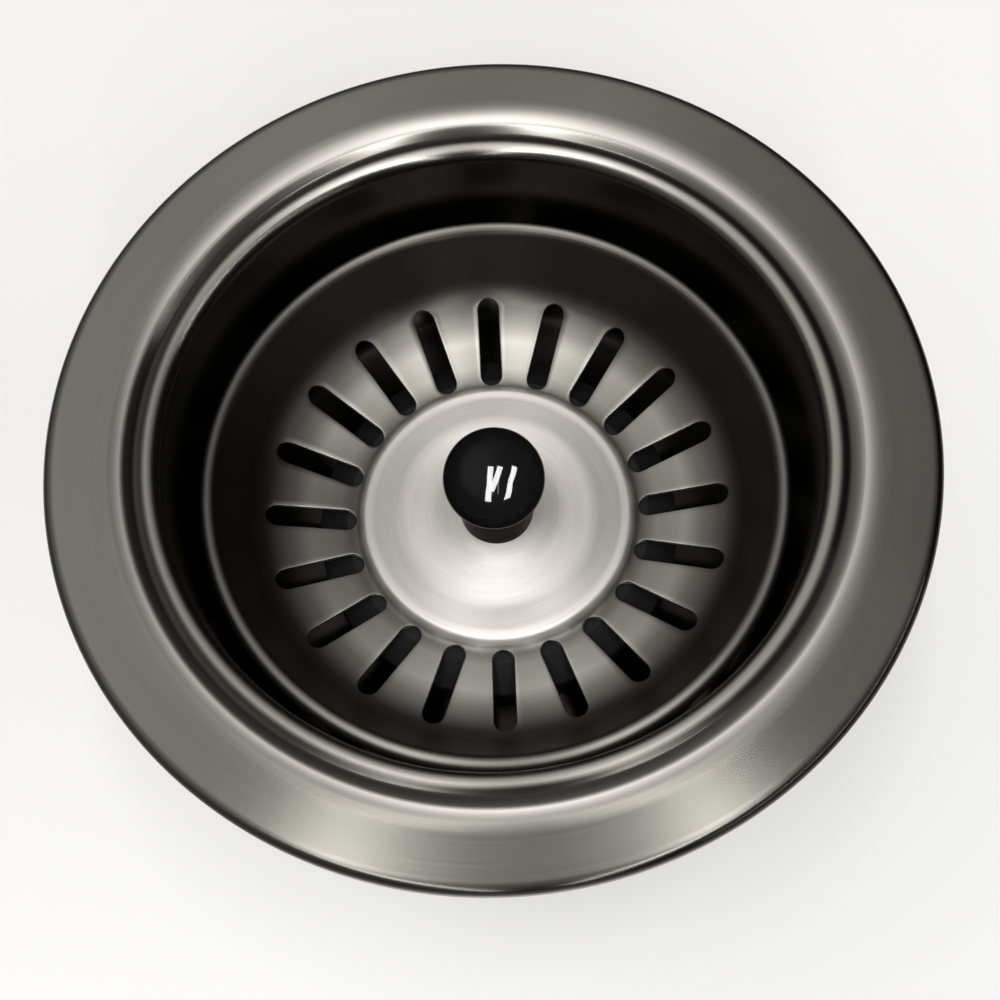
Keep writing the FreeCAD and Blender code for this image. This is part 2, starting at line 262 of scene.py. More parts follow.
# Nuts
locknut_bore = 44.2 * mm
locknut_wall = 48.2 * mm
locknut_shoulder = -23.0 * mm
locknut_round = 0.6 * mm
locknut_thread_foot = -27.5 * mm
lug_count = 8
lug_half = 3.0 * mm
lug_rise = 2.6 * mm
lug_foot = -29.4 * mm
lug_flank = 0.5 * mm
coupling_bore = 23.85 * mm
coupling_wall = 28.45 * mm
coupling_round = 0.8 * mm
coupling_thread_foot = -62.4 * mm
rib_count = 12
rib_radius = 2.2 * mm
rib_ends = (-68.9 * mm, -56.1 * mm)
rib_flank = 0.6 * mm


def low(node):
    """Height of a node's lowest point."""
    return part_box(node)[0].z


def high(node):
    """Height of a node's highest point."""
    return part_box(node)[1].z


def radii_of(node):
    """Radius of every vertex of a CAD node."""
    points = np.array([v.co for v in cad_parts[node].data.vertices])
    return np.hypot(points[:, 0], points[:, 1])


def reach(node):
    """Largest radius of a node."""
    return radii_of(node).max()


def bore(node):
    """Smallest radius of a node."""
    return radii_of(node).min()


flange_radius = -cad_box[0].x
cup_outer = cup_radius + body_sheet
cup_floor = high("outlet_crosspiece")
disc_top = low("neck_collar")
basket_top = high("strainer_basket")
basket_lip_radius = reach("strainer_basket")

# Outlines: arrays of radius and height, running with the solid on their left


def corner_arc(before, corner, after, radius):
    """Points along the rounding of one corner."""
    back = (before - corner) / np.linalg.norm(before - corner)
    ahead = (after - corner) / np.linalg.norm(after - corner)
    half = math.acos(float(back @ ahead)) / 2
    sweep = math.pi - 2 * half
    centre = corner + (back + ahead) / np.linalg.norm(back + ahead) * radius / math.sin(half)
    first = corner + back * radius / math.tan(half) - centre
    last = corner + ahead * radius / math.tan(half) - centre
    turns = np.linspace(0, sweep, arc_steps + 1)[:, None]
    return centre + (first * np.sin(sweep - turns) + last * np.sin(turns)) / math.sin(sweep)


def rounded(corners, radii):
    """A closed outline through the corners, each rounded by its radius."""
    spots = np.array(corners, float)
    runs = []
    for i, radius in enumerate(radii):
        after = spots[(i + 1) % len(spots)]
        runs.append(corner_arc(spots[i - 1], spots[i], after, radius) if radius else spots[i:i + 1])
    return np.concatenate(runs)


def rounded_line(corners, radii):
    """An open line through the corners, with a rounding for each inner one."""
    return rounded(corners, [0, *radii, 0])


def divided(line, closed=False, fine_wall=None, fine_step=fine_row):
    """The line with extra points, closer together along the wall of that radius."""
    ends = np.concatenate([line[1:], line[:1]]) if closed else line[1:]
    points = []
    for a, b in zip(line, ends):
        fine = fine_wall is not None and max(abs(a[0] - fine_wall), abs(b[0] - fine_wall)) < on_wall
        parts = max(1, math.ceil(np.linalg.norm(b - a) / (fine_step if fine else row_step)))
        points += [a + (b - a) * k / parts for k in range(parts)]
    return np.array(points if closed else points + [line[-1]])


def beside(line, distance):
    """The line moved to its left as it runs."""
    along = np.gradient(line, axis=0)
    along /= np.linalg.norm(along, axis=1)[:, None]
    return line + np.stack([-along[:, 1], along[:, 0]], 1) * distance


# Meshes


def new_piece(name, body, verts, faces, weld=False):
    """A smooth-shaded piece that rides on a body and keeps its sharp edges."""
    mesh = bpy.data.meshes.new(name)
    mesh.from_pydata(np.asarray(verts).tolist(), [], np.asarray(faces).tolist())
    if weld:
        work = bmesh.new()
        work.from_mesh(mesh)
        bmesh.ops.remove_doubles(work, verts=work.verts, dist=weld_gap)
        work.to_mesh(mesh)
        work.free()
    mesh.update()
    mesh.shade_smooth()
    mesh.set_sharp_from_angle(angle=sharp_angle)
    piece = bpy.data.objects.new(name, mesh)
    bpy.context.scene.collection.objects.link(piece)
    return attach(piece, body)


def grid_faces(rows, columns, closed_rows):
    """Quads of a grid of points, row by row, whose rows are loops."""
    i = np.arange(rows if closed_rows else rows - 1)[:, None]
    j = np.arange(columns)[None, :]
    a, b = i * columns, (i + 1) % rows * columns
    k = (j + 1) % columns
    return np.stack([a + j, a + k, b + k, b + j], 2).reshape(-1, 4)


def turned_points(outline, segments, relief=None, start=0.0):
    """Points of a turned surface. relief says how far each point stands out from the outline."""
    turn = start + np.arange(segments) * 2 * math.pi / segments
    radius = np.repeat(outline[:, :1], segments, 1)
    height = np.repeat(outline[:, 1:], segments, 1)
    if relief:
        radius = radius + relief(turn[None, :], radius, height)
    return np.stack([radius * np.cos(turn), radius * np.sin(turn), height], 2).reshape(-1, 3)


def lathe(name, body, outline, segments=turn_segments, relief=None, closed=True):
    """A turned piece. An open outline starts and ends on the axis."""
    verts = turned_points(outline, segments, relief)
    return new_piece(name, body, verts, grid_faces(len(outline), segments, closed), weld=not closed)


def thread_relief(wall, pitch, depth, foot, top):
    """Relief of one right-hand thread ridge on the wall of that radius. A negative depth stands inward."""
    base, crest = pitch * thread_base_share, pitch * thread_crest_share
    turns = (top - foot) / pitch

    def relief(turn, radius, height):
        around = turn / (2 * math.pi)
        along = around + np.round((height - foot) / pitch - around)
        gap = np.abs(height - foot - pitch * along)
        fade = np.clip(np.minimum(along, turns - along) / thread_fade_turns, 0, 1)
        rise = np.clip((base - gap) / (base - crest), 0, 1)
        return np.where(np.abs(radius - wall) < on_wall, rise * fade * depth, 0)

    return relief


def sector_loop(near, far, half_turn, side, arc):
    """Edge of a sector in plan: out along one side, round the far arc, back, and round the near arc."""
    out = near + (far - near) * side
    sweep = half_turn * (2 * arc - 1)
    radius = np.concatenate([out, np.full_like(arc, far), near + far - out, np.full_like(arc, near)])
    turn = np.concatenate([np.full_like(side, -half_turn), sweep, np.full_like(side, half_turn), -sweep])
    return np.stack([radius * np.cos(turn), radius * np.sin(turn)], 1)


def pierced(name, body, count, first_angle, hole, sector, place, sheet, edge_round, strips):
    """A ring of sectors, each with one hole, closed by turned strips inside and outside.

    hole(growth) is the hole's loop in plan, sector the matching loop round it, and place(plan, depth)
    puts plan points at a depth under the sheet's upper side.
    """
    edge = hole(edge_round)
    shares = np.linspace(1, 0, band_parts)
    rings = [place(edge + (sector - edge) * s, 0) for s in shares]
    for turn in top_edge_turns:
        growth, depth = edge_round * (1 - math.sin(turn)), edge_round * (1 - math.cos(turn))
        rings.append(place(hole(growth), depth))
    for turn in under_edge_turns:
        growth, rise = edge_round * (1 - math.cos(turn)), edge_round * (1 - math.sin(turn))
        rings.append(place(hole(growth), sheet - rise))
    rings += [place(edge + (sector - edge) * s, sheet) for s in shares[::-1][1:]]
    rings = np.array(rings)
    arc_parts = len(sector) // 2 - side_parts
    verts, faces, total = [], [], 0
    for outline in strips:
        verts.append(turned_points(outline, count * arc_parts, start=first_angle - math.pi / count))
        faces.append(grid_faces(len(outline), count * arc_parts, False) + total)
        total += len(verts[-1])
    for i in range(count):
        spin = np.array(Matrix.Rotation(first_angle + 2 * math.pi * i / count, 3, "Z"))
        verts.append(rings.reshape(-1, 3) @ spin.T)
        faces.append(grid_faces(len(rings), len(sector), False) + total)
        total += len(verts[-1])
    return new_piece(name, body, np.concatenate(verts), np.concatenate(faces), weld=True)


# Finishes


class Nodes:
    """Short calls for the nodes of one tree."""

    def __init__(self, tree):
        self.tree = tree

    def join(self, socket, value):
        """Links the socket to another one, or gives it a value."""
        if isinstance(value, bpy.types.NodeSocket):
            self.tree.links.new(value, socket)
        else:
            socket.default_value = value

    def node(self, kind, inputs, **settings):
        """A new node of that kind, with its settings and inputs."""
        made = self.tree.nodes.new("ShaderNode" + kind)
        for key, value in settings.items():
            setattr(made, key, value)
        for key, value in inputs.items():
            self.join(made.inputs[key], value)
        return made

    def math(self, operation, a, b=0.0):
        """One step of arithmetic."""
        return self.node("Math", {0: a, 1: b}, operation=operation).outputs[0]

    def spread(self, value, start, end, to_start, to_end):
        """The value taken from one range to another, held at both ends."""
        return self.node("MapRange", {0: value, 1: start, 2: end, 3: to_start, 4: to_end}).outputs[0]

    def blend(self, share, first, second):
        """A colour between two colours."""
        return self.node("Mix", {0: share, 6: first, 7: second}, data_type="RGBA").outputs[2]

    def between(self, share, first, second):
        """A number between two numbers."""
        return self.node("Mix", {0: share, 2: first, 3: second}, data_type="FLOAT").outputs[0]

    def stepped(self, radius, stops):
        """A number that runs from stop to stop as the radius grows, at most the flange's."""
        made = self.node("ValToRGB", {0: self.math("DIVIDE", radius, flange_radius)})
        marks = made.color_ramp.elements
        while len(marks) < len(stops):
            marks.new(0.5)
        for mark, (stop, level) in zip(marks, stops):
            mark.position = stop * mm / flange_radius
            mark.color = (level, level, level, 1.0)
        return made.outputs[0]

    def both(self, first, second, share):
        """Two noises in one, the first by its share and the second by the rest."""
        rest = self.math("MULTIPLY", second, 1 - share)
        return self.math("ADD", self.math("MULTIPLY", first, share), rest)


class Finish(Nodes):
    """A material whose patterns follow the piece and the drain's axis."""

    def __init__(self, name, **settings):
        self.material = bpy.data.materials.new(name)
        self.material.use_nodes = True
        super().__init__(self.material.node_tree)
        self.surface = self.tree.nodes["Principled BSDF"]
        for socket, value in settings.items():
            self.set(socket.replace("_", " "), value)

    def set(self, socket, value):
        """Gives an input of the surface a value or a link."""
        self.join(self.surface.inputs[socket], value)

    def place(self):
        """Position on the piece."""
        return self.node("TexCoord", {}).outputs["Object"]

    def noise(self, scale, detail=2.0, vector=None, w=None):
        """Noise with that many cells per metre. w leads it through a fourth dimension."""
        inputs = {"Vector": vector or self.place(), "Scale": scale, "Detail": detail}
        if w is None:
            return self.node("TexNoise", inputs).outputs[0]
        made = self.node("TexNoise", inputs, noise_dimensions="4D")
        self.join(made.inputs["W"], w)
        return made.outputs[0]

    def polar(self):
        """Distance from the drain's axis, the two parts of the direction from it, and height."""
        x, y, height = self.node("SeparateXYZ", {0: self.place()}).outputs
        squares = self.math("ADD", self.math("MULTIPLY", x, x), self.math("MULTIPLY", y, y))
        radius = self.math("SQRT", squares)
        return radius, self.math("DIVIDE", x, radius), self.math("DIVIDE", y, radius), height

    def streaks(self, fine, around, detail=2.0):
        """Noise drawn out along circles about the axis: fine is per metre across, around is per turn."""
        radius, east, north, height = self.polar()
        along = self.node("CombineXYZ", {
            0: self.math("MULTIPLY", east, around),
            1: self.math("MULTIPLY", north, around),
            2: self.math("MULTIPLY", radius, fine),
        }).outputs[0]
        return self.noise(1.0, detail, along, self.math("MULTIPLY", height, fine))

    def colours(self, pattern, first, second):
        """Base colour that runs from the first colour to the second with a pattern."""
        self.set("Base Color", self.blend(pattern, first, second))

    def roughness(self, pattern, least, most, span=noise_span):
        """Roughness that grows with a pattern over that span of its values."""
        self.set("Roughness", self.spread(pattern, *span, least, most))

    def bump(self, height, strength, depth):
        """Fine unevenness of that depth."""
        made = self.node("Bump", {"Height": height, "Strength": strength, "Distance": depth})
        self.set("Normal", made.outputs[0])

    def brushed_round(self):
        """Brushing in circles about the drain's axis."""
        made = self.node("Tangent", {}, direction_type="RADIAL", axis="Z")
        self.set("Tangent", made.outputs[0])


def grey(level, warmth=0.0):
    """A grey, with more red and less blue by its warmth."""
    return (level * (1 + warmth), level, level * (1 - warmth), 1.0)


def flange_tone(metal):
    """Tone of the flange and lip: painted shade inside the cup, and outside it the flange's tones with their
    painted highlights and shade.
    """
    radius, _, _, height = metal.polar()
    inside = metal.spread(height, *cup_floor_span, cup_floor_painted_shade, cup_wall_painted_shade)
    cup = metal.spread(radius, cup_radius + cup_skin, cup_outer, inside, flange_plain)
    above = metal.spread(height, *cup_mouth_span, 0.0, 1.0)
    return metal.between(above, cup, metal.stepped(radius, flange_tones_with_painted_light))


def basket_tone(metal):
    """Tone of the basket by radius, with painted highlights and shade, palest on its disc."""
    return metal.stepped(metal.polar()[0], basket_tones_with_painted_light)


def gunmetal(name, tone_of, satin_stops, contrast, least, most, brushing=strong_brushing):
    """Dark steel brushed in circles, paler where highlights are painted into its tone and darker where shade
    is. least and most bound its roughness before satin.
    """
    metal = Finish(name, Metallic=1.0, Anisotropic=brushing, Anisotropic_Rotation=across_brushing)
    metal.brushed_round()
    lines = metal.streaks(fine=6500.0, around=2.2, detail=3.0)
    grain = metal.both(lines, metal.streaks(fine=620.0, around=1.3), share=0.55)
    shade = metal.spread(grain, *grain_span, 1 - contrast, 1 + contrast)
    tone = tone_of(metal)
    level = metal.math("MULTIPLY", tone, shade)
    shares = [metal.spread(tone, *tint_span, *pair) for pair in zip(dark_tint, pale_tint)]
    parts = {i: metal.math("MULTIPLY", level, share) for i, share in enumerate(shares)}
    metal.set("Base Color", metal.node("CombineColor", parts).outputs[0])
    wear = metal.both(lines, metal.noise(scale=70.0, detail=3.0), share=0.5)
    rough = metal.spread(wear, *wear_span, least, most)
    satin = metal.stepped(metal.polar()[0], satin_stops)
    metal.set("Roughness", metal.math("ADD", rough, satin))
    metal.bump(lines, strength=0.012, depth=0.02 * mm)
    return metal.material


def stainless(name):
    """Pale turned steel with fine machining rings."""
    metal = Finish(name, Metallic=1.0, Anisotropic=steel_brushing, Anisotropic_Rotation=across_brushing)
    metal.brushed_round()
    rings = metal.streaks(fine=7000.0, around=0.8)
    metal.colours(rings, grey(0.46, warmth=0.02), grey(0.63, warmth=0.02))
    metal.roughness(metal.noise(scale=120.0, detail=4.0), least=0.22, most=0.36)
    metal.bump(rings, strength=0.15, depth=0.02 * mm)
    return metal.material


def black_gloss(name, smooth, edge):
    """Polished black with faint handling marks. edge is the share of its glare kept at a slant."""
    gloss = Finish(name, Metallic=0.6, IOR=1.0, Specular_Tint=grey(edge))
    marks = gloss.noise(scale=420.0, detail=5.0)
    gloss.colours(marks, grey(0.013), grey(0.019))
    gloss.roughness(marks, least=smooth, most=2 * smooth, span=gloss_span)
    gloss.bump(gloss.noise(scale=160.0, detail=1.0), strength=0.03, depth=0.05 * mm)
    return gloss.material


def rubber(name):
    """Moulded black rubber with a fine bloom."""
    soft = Finish(name, IOR=1.3)
    bloom = soft.noise(scale=260.0, detail=5.0)
    soft.colours(bloom, (0.005, 0.005, 0.006, 1), (0.014, 0.014, 0.015, 1))
    soft.roughness(bloom, least=0.5, most=0.7)
    soft.bump(soft.noise(scale=5200.0), strength=0.25, depth=0.05 * mm)
    return soft.material


def fibre(name, dark, light):
    """Pressed fibre board, flecked along its fibres."""
    board = Finish(name, IOR=1.45)
    along_fibres = (1.0, 3.5, 2.0)
    grain = board.node("Mapping", {"Vector": board.place(), "Scale": along_fibres}).outputs[0]
    fleck = board.noise(scale=900.0, detail=6.0, vector=grain)
    tone = board.both(fleck, board.noise(scale=90.0, detail=3.0), share=0.7)
    board.colours(board.spread(tone, *noise_span, 0.0, 1.0), dark, light)
    board.roughness(fleck, least=0.72, most=0.9)
    board.bump(fleck, strength=0.4, depth=0.08 * mm)
    return board.material


def zinc(name):
    """Die-cast zinc with a dull spangled skin."""
    cast = Finish(name, Metallic=1.0)
    grains = cast.node("TexVoronoi", {"Vector": cast.place(), "Scale": 520.0}).outputs["Color"]
    spangle = cast.node("SeparateColor", {0: grains}).outputs[0]
    skin = cast.noise(scale=1500.0, detail=4.0)
    tone = cast.both(spangle, cast.noise(scale=60.0, detail=4.0), share=0.35)
    cast.colours(tone, (0.34, 0.35, 0.37, 1), (0.62, 0.63, 0.64, 1))
    cast.roughness(skin, least=0.38, most=0.56)
    cast.bump(skin, strength=0.35, depth=0.08 * mm)
    return cast.material


def polyethylene(name):
    """Natural white plastic, slightly waxy."""
    wax = Finish(name, IOR=1.5, Subsurface_Weight=0.15, Subsurface_Scale=2 * mm)
    wax.set("Subsurface Radius", (1.0, 0.9, 0.8))
    scuff = wax.noise(scale=1800.0, detail=3.0)
    wax.colours(wax.noise(scale=140.0, detail=3.0), (0.74, 0.74, 0.71, 1), (0.86, 0.86, 0.83, 1))
    wax.roughness(scuff, least=0.38, most=0.52)
    wax.bump(scuff, strength=0.12, depth=0.04 * mm)
    return wax.material


def black_plastic(name):
    """Moulded black plastic with a fine spark-eroded texture."""
    shell = Finish(name, IOR=1.5)
    texture = shell.noise(scale=3600.0, detail=3.0)
    shell.colours(shell.noise(scale=80.0, detail=3.0), (0.018, 0.018, 0.02, 1), (0.036, 0.036, 0.038, 1))
    shell.roughness(texture, least=0.34, most=0.5)
    shell.bump(texture, strength=0.3, depth=0.06 * mm)
    return shell.material


def brass(name):
    """Turned brass with light tarnish."""
    metal = Finish(name, Metallic=1.0)
    tarnish = metal.noise(scale=300.0, detail=4.0)
    metal.colours(tarnish, (0.5, 0.34, 0.13, 1), (0.78, 0.58, 0.27, 1))
    metal.roughness(tarnish, least=0.22, most=0.4)
    metal.bump(metal.streaks(fine=5000.0, around=0.8), strength=0.15, depth=0.02 * mm)
    return metal.material


body_metal = gunmetal("gunmetal_body", flange_tone, flange_satin, contrast=0.08, least=0.18, most=0.23)
basket_metal = gunmetal("gunmetal_basket", basket_tone, basket_satin, contrast=0.1, least=0.24, most=0.29)
disc_metal = gunmetal("brushed_disc", basket_tone, disc_satin, contrast=0.14, least=0.22, most=0.28,
                      brushing=disc_brushing)
turned_steel = stainless("turned_stainless")
knob_black = black_gloss("knob_black", smooth=0.03, edge=0.3)
collar_black = black_gloss("collar_black", smooth=0.15, edge=0.45)
seal_rubber = rubber("seal_rubber")
brown_board = fibre("brown_fibre", dark=(0.22, 0.14, 0.075, 1), light=(0.5, 0.36, 0.22, 1))
red_board = fibre("red_fibre", dark=(0.2, 0.04, 0.02, 1), light=(0.42, 0.11, 0.06, 1))
cast_zinc = zinc("cast_zinc")
white_wax = polyethylene("white_polyethylene")
nut_plastic = black_plastic("nut_plastic")
insert_brass = brass("insert_brass")


def finished(piece, node, material):
    """Shows the piece in place of its CAD node, with its finish."""
    piece.data.materials.append(material)
    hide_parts(node)


# Pieces of the drain


def make_body():
    """Flange, lip and cup, pressed from one sheet, with the thread rolled on the outside."""
    line = rounded_line([
        (flange_radius, flange_edge_gap),
        (flange_radius, flange_crown),
        (inner_bend_radius, flange_inner),
        (crease_radius, crease_height),
        (cup_radius, lip_height),
        (cup_radius, cup_floor),
        (floor_hole, cup_floor),
    ], body_rounds)
    under = beside(line, body_sheet)[::-1]
    outline = np.concatenate([divided(line), divided(under, fine_wall=cup_outer, fine_step=thread_row)])
    relief = thread_relief(cup_outer, cup_pitch, cup_thread_depth, cup_thread_foot, cup_thread_top)
    piece = lathe("cup_and_flange", "drain", outline, relief=relief)
    finished(piece, "strainer_body", body_metal)


def make_flange_gasket():
    """Thin rubber ring whose top follows the slope of the flange."""
    inner, outer = bore("flange_gasket"), reach("flange_gasket")
    top = high("flange_gasket")
    slope = (flange_crown - flange_inner) / (flange_radius - inner_bend_radius)
    corners = [(inner, 0), (outer, 0), (outer, top), (inner, top - slope * (outer - inner))]
    outline = divided(rounded(corners, [flange_gasket_round] * len(corners)), closed=True)
    finished(lathe("flange_seal", "drain", outline), "flange_gasket", seal_rubber)


def make_sleeve():
    """Threaded outlet, its upper edge rolled over the cup's floor."""
    foot, top = low("outlet_sleeve"), high("outlet_sleeve")
    ledge, shoulder = low("outlet_crosspiece"), low("outlet_seal")
    inner = bore("outlet_sleeve")
    outline = rounded([
        (sleeve_recess, ledge),
        (inner, ledge),
        (inner, foot),
        (sleeve_wall, foot),
        (sleeve_wall, shoulder),
        (sleeve_neck, shoulder),
        (sleeve_neck, cup_floor),
        (sleeve_rim, cup_floor),
        (sleeve_rim, top),
        (sleeve_recess, top),
    ], [0, 0, sleeve_round, sleeve_round, sleeve_round, 0, 0, 0, sleeve_rim_round, sleeve_rim_round])
    outline = divided(outline, closed=True, fine_wall=sleeve_wall, fine_step=thread_row)
    relief = thread_relief(sleeve_wall, sleeve_pitch, sleeve_thread_depth, sleeve_thread_foot,
                           sleeve_thread_top)
    piece = lathe("threaded_outlet", "drain", outline, relief=relief)
    finished(piece, "outlet_sleeve", turned_steel)


def make_crosspiece():
    """Ring, hub and four arms across the outlet."""
    inner, outer = bore("outlet_crosspiece"), reach("outlet_crosspiece")
    foot, top = low("outlet_crosspiece"), high("outlet_crosspiece")
    half_turn = math.pi / arm_count
    side = np.linspace(0, 1, side_parts, endpoint=False)
    arc = np.linspace(0, 1, crosspiece_arc_parts, endpoint=False)
    near, far = inner + crosspiece_round, outer - crosspiece_round

    def window(growth):
        half, hub, rim = arm_half - growth, hub_radius - growth, outer - crosspiece_rim + growth
        start, end = math.sqrt(hub ** 2 - half ** 2), math.sqrt(rim ** 2 - half ** 2)
        out = start + (end - start) * side
        back = start + end - out
        far_lean, near_lean = half_turn - math.asin(half / rim), half_turn - math.asin(half / hub)
        radius = np.concatenate([
            np.hypot(out, half),
            np.full_like(arc, rim),
            np.hypot(back, half),
            np.full_like(arc, hub),
        ])
        turn = np.concatenate([
            np.arctan2(half, out) - half_turn,
            far_lean * (2 * arc - 1),
            half_turn - np.arctan2(half, back),
            near_lean * (1 - 2 * arc),
        ])
        return np.stack([radius * np.cos(turn), radius * np.sin(turn)], 1)

    def place(plan, depth):
        return np.column_stack([plan, np.full(len(plan), top - depth)])

    edge = crosspiece_round
    hub_strip = rounded_line([(near, top), (inner, top), (inner, foot), (near, foot)], [edge / 2] * 2)
    rim_strip = rounded_line([(far, foot), (outer, foot), (outer, top), (far, top)], [edge / 2] * 2)
    sector = sector_loop(near, far, half_turn, side, arc)
    piece = pierced("outlet_cross", "drain", arm_count, half_turn, window, sector, place, top - foot, edge,
                    (hub_strip, rim_strip))
    finished(piece, "outlet_crosspiece", turned_steel)


def make_ring(name, node, body, material, rounding):
    """A plain ring in the place of its CAD node."""
    inner, outer, foot, top = bore(node), reach(node), low(node), high(node)
    corners = [(inner, foot), (outer, foot), (outer, top), (inner, top)]
    outline = divided(rounded(corners, [rounding] * len(corners)), closed=True)
    finished(lathe(name, body, outline), node, material)


def make_bush():
    """White bush in the hub, with a collar above and a snap edge below."""
    inner, collar = bore("catch_bush"), reach("catch_bush")
    foot, top = low("catch_bush"), high("catch_bush")
    outline = rounded([
        (inner, foot),
        (bush_radius, foot),
        (bush_snap, bush_snap_top),
        (bush_radius, bush_snap_top),
        (bush_radius, cup_floor),
        (collar, cup_floor),
        (collar, top),
        (inner, top),
    ], [bush_round / 2, bush_round / 2, 0, 0, 0, 0, bush_round, bush_round])
    piece = lathe("post_bush", "catch", divided(outline, closed=True))
    finished(piece, "catch_bush", white_wax)


# Pieces of the basket


def make_basket():
    """Pressed basket with rolled lip, slotted cone and raised disc."""
    floor = disc_top - disc_step
    top = divided(rounded_line([
        (basket_lip_radius, basket_top - basket_lip_drop),
        (basket_lip_radius, basket_top),
        (basket_wall_top, basket_top),
        (basket_wall_foot, floor + basket_wall_rise),
        (disc_foot, floor),
        (disc_radius, disc_top),
        (post_hole, disc_top),
    ], basket_rounds))
    under = beside(top, basket_sheet)
    near, far = slot_band
    order = np.argsort(top[:, 0])

    def at_radius(radius, depth):
        share = depth / basket_sheet
        line = (top * (1 - share) + under * share)[order]
        return np.interp(radius, top[order, 0], line[:, 0]), np.interp(radius, top[order, 0], line[:, 1])

    def place(plan, depth):
        radius = np.hypot(plan[:, 0], plan[:, 1])
        shifted, height = at_radius(radius, depth)
        return np.column_stack([plan * (shifted / radius)[:, None], height])

    side = np.linspace(0, 1, side_parts, endpoint=False)
    arc = np.linspace(0, 1, slot_arc_parts, endpoint=False)

    def slot(growth):
        half = slot_half + growth
        out = slot_inner + (slot_outer - slot_inner) * side
        bend = math.pi * (arc - 1 / 2)
        along = np.concatenate([
            out,
            slot_outer + half * np.cos(bend),
            slot_inner + slot_outer - out,
            slot_inner - half * np.cos(bend),
        ])
        across = np.concatenate([
            np.full_like(side, -half),
            half * np.sin(bend),
            np.full_like(side, half),
            -half * np.sin(bend),
        ])
        return np.stack([along, across], 1)

    inner, outer = top[:, 0] < near, top[:, 0] > far
    disc = np.concatenate([
        [at_radius(near, 0)],
        top[inner],
        under[inner][::-1],
        [at_radius(near, basket_sheet)],
    ])
    wall = np.concatenate([
        [at_radius(far, basket_sheet)],
        under[outer][::-1],
        top[outer],
        [at_radius(far, 0)],
    ])
    sector = sector_loop(near, far, math.pi / slot_count, side, arc)
    piece = pierced("slotted_basket", "basket", slot_count, slot_first_angle, slot, sector, place,
                    basket_sheet, slot_edge_round, (disc, wall))
    finished(piece, "strainer_basket", basket_metal)
    piece.data.materials.append(disc_metal)
    for face in piece.data.polygons:
        face.material_index = int(math.hypot(face.center.x, face.center.y) < disc_finish_radius)


def make_ball():
    """Ball with a flat foot and the insert's pocket."""
    seat, top, radius = high("neck_collar"), high("ball_knob"), reach("ball_knob")
    pocket, pocket_top = reach("knob_insert") + pocket_gap, high("knob_insert")
    centre = top - radius
    bend = np.linspace(math.asin((seat - centre) / radius), math.pi / 2, ball_steps)
    ball = np.stack([radius * np.cos(bend), centre + radius * np.sin(bend)], 1)
    ball[-1, 0] = 0
    inside = np.array([(0, pocket_top), (pocket, pocket_top), (pocket, seat)])
    outline = np.concatenate([inside, ball])
    finished(lathe("ball", "basket", outline, closed=False), "ball_knob", knob_black)


def make_insert():
    """Brass insert, closed at the top."""
    outer, foot, top = reach("knob_insert"), low("knob_insert"), high("knob_insert")
    inner, roof = outer - insert_wall, top - insert_crown
    outline = np.array([(0, roof), (inner, roof), (inner, foot), (outer, foot), (outer, top), (0, top)])
    finished(lathe("insert", "basket", outline, closed=False), "knob_insert", insert_brass)


def make_post():
    """Post with two catch grooves near its rounded tip."""
    radius, foot, top = reach("lift_post"), low("lift_post"), high("lift_post")
    corners, rounds = [(0, foot), (post_tip_radius, foot)], [0, post_tip_round]
    for height in groove_heights:
        corners += [(post_tip_radius, height - groove_half), (post_tip_radius - groove_depth, height),
                    (post_tip_radius, height + groove_half)]
        rounds += [0, groove_half / 2, 0]
    corners += [(post_tip_radius, post_thread_end), (radius, post_thread_end), (radius, top), (0, top)]
    rounds += [0] * 4
    outline = divided(rounded(corners, rounds))
    finished(lathe("post", "basket", outline, closed=False), "lift_post", turned_steel)


def make_stopper():
    """Rubber stopper with a skirt that seals on the cup's floor."""
    inner, outer = bore("stopper_seal"), reach("stopper_seal")
    foot, top = low("stopper_seal"), high("stopper_seal")
    outline = rounded([
        (inner, stopper_hub_foot),
        (stopper_hub, stopper_hub_foot),
        (skirt_inner, skirt_root),
        (skirt_inner, foot),
        (outer, foot),
        (outer, stopper_shoulder),
        (stopper_flat, top),
        (inner, top),
    ], stopper_rounds)
    piece = lathe("stopper", "basket", divided(outline, closed=True))
    finished(piece, "stopper_seal", seal_rubber)


def make_stopper_nut():
    """Hexagon nut with both faces chamfered."""
    foot, top = low("stopper_nut"), high("stopper_nut")
    corner = reach("stopper_nut")
    face = corner - hexagon_chamfer
    outline = np.array([
        (hexagon_bore, foot + hexagon_chamfer),
        (hexagon_bore + hexagon_chamfer, foot),
        (face, foot),
        (corner, foot + hexagon_chamfer),
        (corner, top - hexagon_chamfer),
        (face, top),
        (hexagon_bore + hexagon_chamfer, top),
        (hexagon_bore, top - hexagon_chamfer),
    ])

    def flats(turn, radius, height):
        lean = (turn % (math.pi / 3)) - math.pi / 6
        side = hexagon_half / np.cos(lean)
        return np.minimum(0, side - radius) * (radius > hexagon_half)

    outline = divided(outline, closed=True)
    finished(lathe("clamp_nut", "basket", outline, relief=flats), "stopper_nut", turned_steel)


# Nuts


